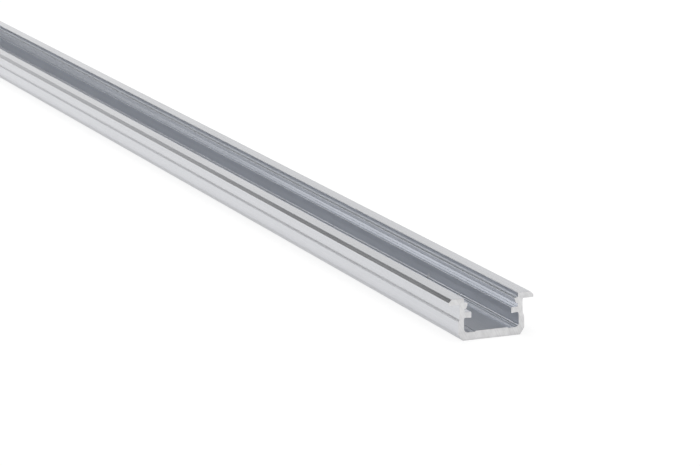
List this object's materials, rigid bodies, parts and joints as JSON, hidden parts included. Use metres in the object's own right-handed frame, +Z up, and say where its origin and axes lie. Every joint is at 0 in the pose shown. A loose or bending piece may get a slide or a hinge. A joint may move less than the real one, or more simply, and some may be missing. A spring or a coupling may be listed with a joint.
{
  "type": "recessed led strip profile",
  "caption": "Extruded aluminium channel with side flanges that sinks into a slot, with guide ridges over a floor for a light strip and snap lips for a cover.",
  "frame": {"origin": "middle of the bar's length and width, on its underside", "axes": "+Y along the bar, +Z up out of the open channel, X across it"},
  "size_m": [0.0226, 1, 0.0106],
  "materials": {
    "anodised_aluminium": "satin silver anodised, with extrusion lines along its length and sawn ends"
  },
  "bodies": {
    "root": {"led_profile": "anodised_aluminium"}
  },
  "joints": []
}
